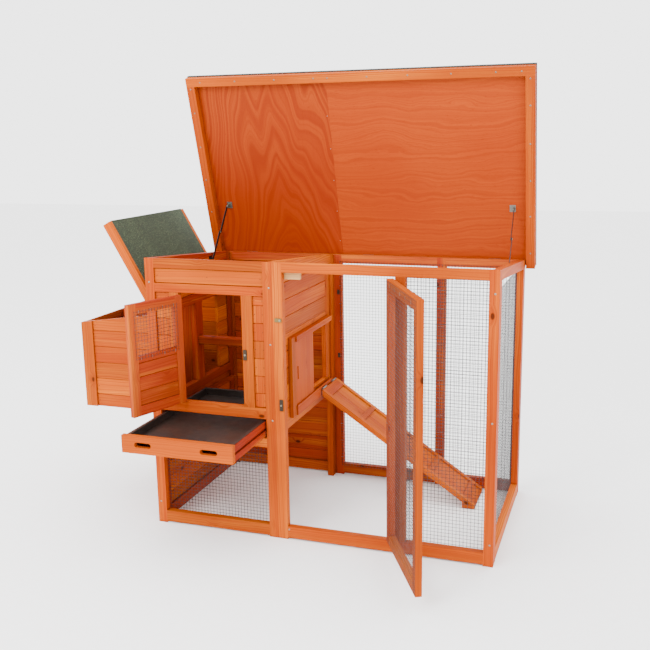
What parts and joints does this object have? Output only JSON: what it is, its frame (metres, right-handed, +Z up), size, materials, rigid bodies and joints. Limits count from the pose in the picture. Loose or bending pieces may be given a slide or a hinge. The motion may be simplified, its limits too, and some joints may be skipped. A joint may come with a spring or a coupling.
{
  "type": "chicken coop",
  "caption": "Wooden chicken coop with raised house, nest box, meshed run, hinged lids and doors, sliding droppings tray, sliding pop door and ramp.",
  "frame": {"origin": "bottom centre of the bounding box in the pose as modelled: lids and doors open, tray out", "axes": "+X to the right along the front, from nest box to run; +Y to the rear; +Z up"},
  "size_m": [1.663, 1.0734, 1.6821],
  "materials": {
    "frame_wood": "orange stained softwood",
    "siding_wood": "orange stained boards",
    "plywood": "stained plywood with open grain",
    "roof_felt": "mineral roofing felt",
    "nest_felt": "green mineral roofing felt",
    "wire": "galvanised welded wire",
    "hinge_metal": "zinc plated",
    "dark_steel": "dark plated steel",
    "screw_metal": "plated",
    "pan_metal": "dark coated sheet",
    "pale_wood": "pale softwood"
  },
  "bodies": {
    "coop_frame": {"house_front_stiles": "frame_wood", "house_front_rails": "frame_wood", "house_front_boards": "siding_wood", "house_front_mesh": "wire", "left_wall_frame": "frame_wood", "left_wall_boards": "siding_wood", "rear_wall_frame": "frame_wood", "rear_wall_boards": "siding_wood", "divider_frame": "frame_wood", "divider_boards": "siding_wood", "pop_door_tracks": "frame_wood", "perch_bar": "frame_wood", "tray_runners": "frame_wood", "nest_box_stiles": "frame_wood", "nest_box_boards": "siding_wood", "nest_box_floor": "siding_wood", "run_front_stiles": "frame_wood", "run_front_rails": "frame_wood", "run_door_stop": "pale_wood", "run_front_mesh": "wire", "run_side_frame": "frame_wood", "run_side_mesh": "wire", "run_rear_frame": "frame_wood", "run_rear_mesh": "wire", "fixed_hinge_leaves": "hinge_metal", "stay_wall_brackets": "dark_steel", "front_screws": "screw_metal"},
    "roof_lid": {"roof_lid_rails": "frame_wood", "roof_panel_left": "plywood", "roof_panel_right": "plywood", "roof_felt": "roof_felt", "roof_hinge_leaves": "hinge_metal", "stay_lid_brackets": "dark_steel"},
    "stay_left_lower": {"stay_left_lower_arm": "dark_steel"},
    "stay_left_upper": {"stay_left_upper_arm": "dark_steel"},
    "stay_right_lower": {"stay_right_lower_arm": "dark_steel"},
    "stay_right_upper": {"stay_right_upper_arm": "dark_steel"},
    "nest_lid": {"nest_lid_rails": "frame_wood", "nest_lid_panel": "plywood", "nest_lid_felt": "nest_felt", "nest_lid_hinge_leaves": "hinge_metal"},
    "house_door": {"house_door_frame": "frame_wood", "house_door_boards": "siding_wood", "house_door_mesh": "wire", "house_door_hinge_leaves": "hinge_metal"},
    "run_door": {"run_door_stiles": "frame_wood", "run_door_rails": "frame_wood", "run_door_mesh": "wire", "run_door_hinge_leaves": "hinge_metal"},
    "tray": {"tray_front": "frame_wood", "tray_drawer_box": "frame_wood", "tray_pan": "pan_metal"},
    "pop_door": {"pop_door_panel": "siding_wood"},
    "ramp": {"ramp_rails": "frame_wood", "ramp_boards": "siding_wood", "ramp_cleats": "frame_wood", "ramp_hinge_leaves": "hinge_metal"},
    "house_door_button": {"house_door_button_plate": "screw_metal"},
    "run_door_upper_button": {"run_door_upper_button_plate": "screw_metal"},
    "run_door_lower_button": {"run_door_lower_button_plate": "screw_metal"}
  },
  "joints": [
    {"name": "roof_lid_hinge", "type": "hinge", "parent": "coop_frame", "child": "roof_lid", "pos_m": [0.15, 0.51837, 0.95652], "axis": [1, 0, 0], "range_deg": [0, 69]},
    {"name": "nest_lid_hinge", "type": "hinge", "parent": "coop_frame", "child": "nest_lid", "pos_m": [-0.4887, 0.19017, 0.825], "axis": [0, -1, 0], "range_deg": [0, 67.84]},
    {"name": "house_door_hinge", "type": "hinge", "parent": "coop_frame", "child": "house_door", "pos_m": [-0.35425, -0.17803, 0.56], "axis": [0, 0, -1], "range_deg": [-110, 60]},
    {"name": "run_door_hinge", "type": "hinge", "parent": "coop_frame", "child": "run_door", "pos_m": [0.4453, -0.17803, 0.18], "axis": [0, 0, 1], "range_deg": [-118, 52]},
    {"name": "ramp_hinge", "type": "hinge", "parent": "coop_frame", "child": "ramp", "pos_m": [0.0257, 0.31317, 0.4403], "axis": [0, -1, 0], "range_deg": [0, 18]},
    {"name": "house_door_button_pivot", "type": "hinge", "parent": "coop_frame", "child": "house_door_button", "pos_m": [-0.0995, -0.17663, 0.684], "axis": [0, 1, 0], "range_deg": [0, 90]},
    {"name": "run_door_upper_button_pivot", "type": "hinge", "parent": "coop_frame", "child": "run_door_upper_button", "pos_m": [0.0365, -0.17663, 0.817], "axis": [0, 1, 0], "range_deg": [0, 180]},
    {"name": "run_door_lower_button_pivot", "type": "hinge", "parent": "coop_frame", "child": "run_door_lower_button", "pos_m": [0.0345, -0.17663, 0.509], "axis": [0, 1, 0], "range_deg": [0, 90]},
    {"name": "tray_slide", "type": "slide", "parent": "coop_frame", "child": "tray", "axis": [0, -1, 0], "range_m": [-0.282, 0.28]},
    {"name": "pop_door_slide", "type": "slide", "parent": "coop_frame", "child": "pop_door", "axis": [0, 1, 0], "range_m": [0, 0.188]},
    {"name": "stay_left_foot_pivot", "type": "hinge", "parent": "coop_frame", "child": "stay_left_lower", "pos_m": [-0.4485, 0.30615, 0.95199], "axis": [1, 0, 0], "range_deg": [-57.31, 0]},
    {"name": "stay_left_lid_pivot", "type": "hinge", "parent": "roof_lid", "child": "stay_left_upper", "pos_m": [-0.4445, 0.45018, 1.15649], "axis": [1, 0, 0], "range_deg": [0, 48.48]},
    {"name": "stay_right_foot_pivot", "type": "hinge", "parent": "coop_frame", "child": "stay_right_lower", "pos_m": [0.7545, 0.30615, 0.95199], "axis": [1, 0, 0], "range_deg": [-57.31, 0]},
    {"name": "stay_right_lid_pivot", "type": "hinge", "parent": "roof_lid", "child": "stay_right_upper", "pos_m": [0.7505, 0.45018, 1.15649], "axis": [1, 0, 0], "range_deg": [0, 48.48]}
  ],
  "couplings": [
    {"joint": "stay_left_foot_pivot", "follows": "roof_lid_hinge", "ratio": -0.82628},
    {"joint": "stay_left_lid_pivot", "follows": "roof_lid_hinge", "ratio": 0.6983},
    {"joint": "stay_right_foot_pivot", "follows": "roof_lid_hinge", "ratio": -0.82628},
    {"joint": "stay_right_lid_pivot", "follows": "roof_lid_hinge", "ratio": 0.6983}
  ]
}
